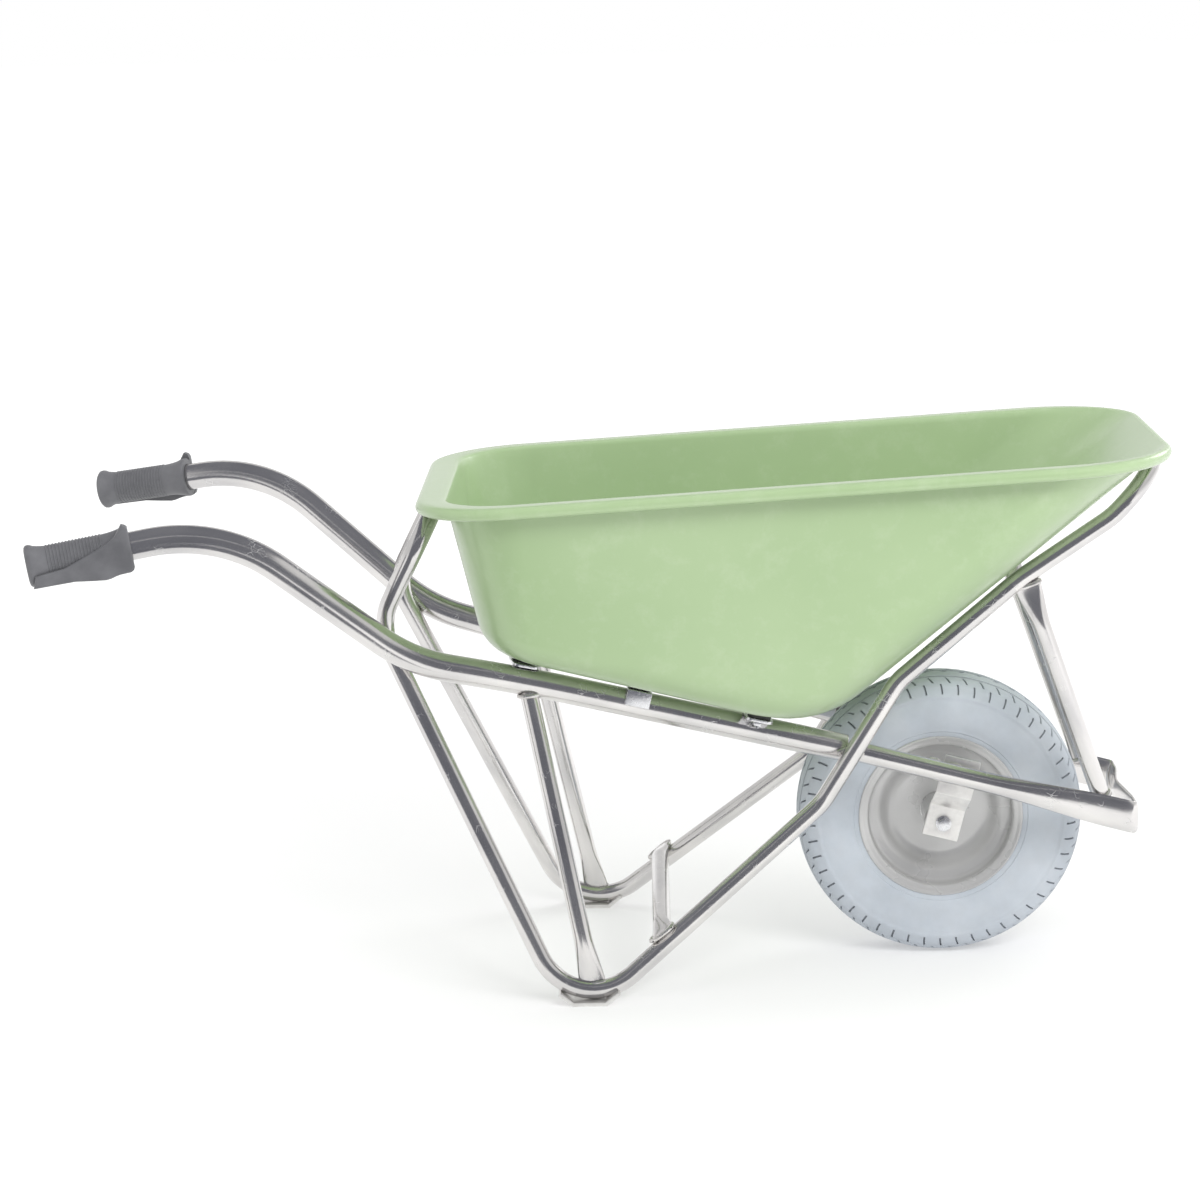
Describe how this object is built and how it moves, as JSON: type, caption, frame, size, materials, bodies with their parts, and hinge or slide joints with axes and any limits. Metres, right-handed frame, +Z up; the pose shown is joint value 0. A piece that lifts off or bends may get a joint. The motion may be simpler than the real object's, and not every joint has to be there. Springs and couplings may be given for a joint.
{
  "type": "wheelbarrow",
  "caption": "Single-wheel garden barrow: deep painted tray on a bent tube frame with hooped nose, braced legs and a wide tyre.",
  "frame": {"origin": "middle of the footprint, on the ground", "axes": "+X towards the nose and the wheel, +Y to the left of someone pushing it, +Z up"},
  "size_m": [1.5178, 0.6844, 0.736],
  "materials": {
    "polished_tube": "bright plated tube",
    "zinc_fittings": "satin zinc",
    "tray_paint": "smooth satin paint",
    "tyre_rubber": "matte pale grey rubber",
    "rim_finish": "semi-gloss grey paint",
    "bearing_steel": "ground",
    "pad_rubber": "matte",
    "grip_plastic": "matte, moulded ribs"
  },
  "bodies": {
    "frame": {"handle_rail_right": "polished_tube", "leg_tube_right": "polished_tube", "leg_brace_right": "polished_tube", "front_strut_right": "polished_tube", "foot_skid_right": "polished_tube", "axle_hanger_right": "zinc_fittings", "grip_right": "grip_plastic", "handle_rail_left": "polished_tube", "leg_tube_left": "polished_tube", "leg_brace_left": "polished_tube", "front_strut_left": "polished_tube", "foot_skid_left": "polished_tube", "axle_hanger_left": "zinc_fittings", "grip_left": "grip_plastic", "rear_hoop": "polished_tube", "front_hoop": "polished_tube", "nose_tube": "polished_tube", "leg_cross_tube": "polished_tube", "tray": "tray_paint", "tray_tab_rear_right": "zinc_fittings", "tray_pad_rear_right": "pad_rubber", "tray_saddle_middle_right": "zinc_fittings", "tray_pad_middle_right": "pad_rubber", "tray_tab_front_right": "zinc_fittings", "tray_pad_front_right": "pad_rubber", "tray_bolt_rear_right": "zinc_fittings", "tray_nut_rear_right": "zinc_fittings", "tray_bolt_front_right": "zinc_fittings", "tray_nut_front_right": "zinc_fittings", "tray_tab_rear_left": "zinc_fittings", "tray_pad_rear_left": "pad_rubber", "tray_saddle_middle_left": "zinc_fittings", "tray_pad_middle_left": "pad_rubber", "tray_tab_front_left": "zinc_fittings", "tray_pad_front_left": "pad_rubber", "tray_bolt_rear_left": "zinc_fittings", "tray_nut_rear_left": "zinc_fittings", "tray_bolt_front_left": "zinc_fittings", "tray_nut_front_left": "zinc_fittings", "axle": "zinc_fittings", "axle_spacer_right": "zinc_fittings", "axle_washer_right": "zinc_fittings", "axle_bolt_right": "zinc_fittings", "axle_spacer_left": "zinc_fittings", "axle_washer_left": "zinc_fittings", "axle_bolt_left": "zinc_fittings"},
    "wheel": {"rim_half_right": "rim_finish", "wheel_bearing_right": "bearing_steel", "rim_half_left": "rim_finish", "wheel_bearing_left": "bearing_steel", "hub": "rim_finish", "tyre": "tyre_rubber"}
  },
  "joints": [
    {"name": "wheel_spin", "type": "hinge", "parent": "frame", "child": "wheel", "pos_m": [0.45787, 0, 0.2], "axis": [0, 1, 0], "continuous": true}
  ]
}
